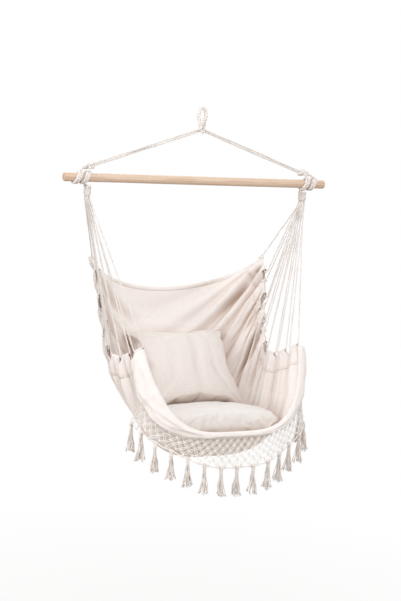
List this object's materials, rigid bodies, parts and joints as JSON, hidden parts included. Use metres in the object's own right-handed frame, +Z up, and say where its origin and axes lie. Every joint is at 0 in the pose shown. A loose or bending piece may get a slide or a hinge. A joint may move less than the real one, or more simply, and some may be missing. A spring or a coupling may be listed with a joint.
{
  "type": "hanging hammock chair",
  "caption": "Hanging canvas hammock chair on a wooden spreader bar, with rope yoke, two loose cushions, netted macrame skirt and tassels.",
  "frame": {"origin": "where a ceiling hook bears, at the top of the inside of the hanging eye", "axes": "+Z up towards the hook, X along the spreader bar to the sitter's left seen from behind the origin, so right in the picture; -Y to the front, where the sitter's legs hang"},
  "size_m": [1, 0.7139, 1.2807],
  "materials": {
    "wood": "satin",
    "rope": "matte",
    "canvas": "matte",
    "cushion": "matte",
    "macrame": "matte"
  },
  "bodies": {
    "eye": {"hanging_eye": "rope"},
    "knot": {"eye_knot": "rope"},
    "yoke": {"yoke_rope_upper_left": "rope", "yoke_rope_upper_right": "rope", "yoke_rope_lower_left": "rope", "yoke_rope_lower_right": "rope", "yoke_knot_left": "rope", "yoke_knot_right": "rope", "yoke_turn_left": "rope", "yoke_turn_right": "rope", "spreader_bar": "wood"},
    "seat": {"hitch_band_left": "rope", "hitch_band_right": "rope", "gather_left": "rope", "gather_right": "rope", "cord_loop_left_1": "rope", "cord_loop_left_2": "rope", "cord_loop_left_3": "rope", "cord_loop_left_4": "rope", "cord_loop_left_5": "rope", "cord_loop_left_6": "rope", "cord_loop_left_7": "rope", "cord_loop_right_1": "rope", "cord_loop_right_2": "rope", "cord_loop_right_3": "rope", "cord_loop_right_4": "rope", "cord_loop_right_5": "rope", "cord_loop_right_6": "rope", "cord_loop_right_7": "rope", "seat_canvas": "canvas", "skirt_header_cord": "macrame", "skirt_hem_cord": "macrame", "skirt_net_left": "macrame", "skirt_net_front": "macrame", "skirt_net_right": "macrame", "skirt_end_cord_left": "macrame", "skirt_end_cord_right": "macrame"},
    "back_cushion": {"back_cushion": "cushion"},
    "seat_cushion": {"seat_cushion": "cushion"},
    "tassel_01": {"tassel_01": "macrame"},
    "tassel_02": {"tassel_02": "macrame"},
    "tassel_03": {"tassel_03": "macrame"},
    "tassel_04": {"tassel_04": "macrame"},
    "tassel_05": {"tassel_05": "macrame"},
    "tassel_06": {"tassel_06": "macrame"},
    "tassel_07": {"tassel_07": "macrame"},
    "tassel_08": {"tassel_08": "macrame"},
    "tassel_09": {"tassel_09": "macrame"},
    "tassel_10": {"tassel_10": "macrame"},
    "tassel_11": {"tassel_11": "macrame"},
    "tassel_12": {"tassel_12": "macrame"},
    "tassel_13": {"tassel_13": "macrame"},
    "tassel_14": {"tassel_14": "macrame"},
    "tassel_15": {"tassel_15": "macrame"}
  },
  "joints": [
    {"name": "swing", "type": "hinge", "parent": "eye", "child": "knot", "pos_m": [0, 0, -0.07], "axis": [1, 0, 0], "range_deg": [-25, 25]},
    {"name": "sway", "type": "hinge", "parent": "knot", "child": "yoke", "pos_m": [0, 0, -0.07], "axis": [0, 1, 0], "range_deg": [-12, 12]},
    {"name": "recline", "type": "hinge", "parent": "yoke", "child": "seat", "pos_m": [0, 0, -0.247], "axis": [1, 0, 0], "range_deg": [-15, 15]},
    {"name": "back_cushion_lift", "type": "slide", "parent": "seat", "child": "back_cushion", "axis": [0, 0, 1], "range_m": [0, 0.3]},
    {"name": "seat_cushion_pull", "type": "slide", "parent": "seat", "child": "seat_cushion", "axis": [0, -0.5736, 0.8192], "range_m": [0, 0.06]},
    {"name": "tassel_01_swing", "type": "hinge", "parent": "seat", "child": "tassel_01", "pos_m": [-0.318, -0.24, -1.04], "axis": [0.1883, -0.9364, -0.2963], "range_deg": [-20, 20]},
    {"name": "tassel_02_swing", "type": "hinge", "parent": "seat", "child": "tassel_02", "pos_m": [-0.30565, -0.29508, -1.05845], "axis": [0.4059, -0.7914, -0.4572], "range_deg": [-20, 20]},
    {"name": "tassel_03_swing", "type": "hinge", "parent": "seat", "child": "tassel_03", "pos_m": [-0.26988, -0.33134, -1.08824], "axis": [0.8007, -0.4038, -0.4425], "range_deg": [-20, 20]},
    {"name": "tassel_04_swing", "type": "hinge", "parent": "seat", "child": "tassel_04", "pos_m": [-0.2203, -0.35351, -1.11313], "axis": [0.8217, -0.3983, -0.4078], "range_deg": [-20, 20]},
    {"name": "tassel_05_swing", "type": "hinge", "parent": "seat", "child": "tassel_05", "pos_m": [-0.17052, -0.37714, -1.13626], "axis": [0.834, -0.4097, -0.3695], "range_deg": [-20, 20]},
    {"name": "tassel_06_swing", "type": "hinge", "parent": "seat", "child": "tassel_06", "pos_m": [-0.11822, -0.39797, -1.15566], "axis": [0.9495, -0.1973, -0.244], "range_deg": [-20, 20]},
    {"name": "tassel_07_swing", "type": "hinge", "parent": "seat", "child": "tassel_07", "pos_m": [-0.05966, -0.40309, -1.16573], "axis": [0.9944, -0.0255, -0.103], "range_deg": [-20, 20]},
    {"name": "tassel_08_swing", "type": "hinge", "parent": "seat", "child": "tassel_08", "pos_m": [0, -0.40137, -1.168], "axis": [1, 0, 0], "range_deg": [-20, 20]},
    {"name": "tassel_09_swing", "type": "hinge", "parent": "seat", "child": "tassel_09", "pos_m": [0.05966, -0.40309, -1.16573], "axis": [0.9944, 0.0255, 0.103], "range_deg": [-20, 20]},
    {"name": "tassel_10_swing", "type": "hinge", "parent": "seat", "child": "tassel_10", "pos_m": [0.11822, -0.39797, -1.15566], "axis": [0.9495, 0.1973, 0.244], "range_deg": [-20, 20]},
    {"name": "tassel_11_swing", "type": "hinge", "parent": "seat", "child": "tassel_11", "pos_m": [0.17052, -0.37714, -1.13626], "axis": [0.834, 0.4097, 0.3695], "range_deg": [-20, 20]},
    {"name": "tassel_12_swing", "type": "hinge", "parent": "seat", "child": "tassel_12", "pos_m": [0.2203, -0.35351, -1.11313], "axis": [0.8217, 0.3983, 0.4078], "range_deg": [-20, 20]},
    {"name": "tassel_13_swing", "type": "hinge", "parent": "seat", "child": "tassel_13", "pos_m": [0.26988, -0.33134, -1.08824], "axis": [0.8007, 0.4038, 0.4425], "range_deg": [-20, 20]},
    {"name": "tassel_14_swing", "type": "hinge", "parent": "seat", "child": "tassel_14", "pos_m": [0.30565, -0.29508, -1.05845], "axis": [0.4059, 0.7914, 0.4572], "range_deg": [-20, 20]},
    {"name": "tassel_15_swing", "type": "hinge", "parent": "seat", "child": "tassel_15", "pos_m": [0.318, -0.24, -1.04], "axis": [0.1883, 0.9364, 0.2963], "range_deg": [-20, 20]}
  ]
}
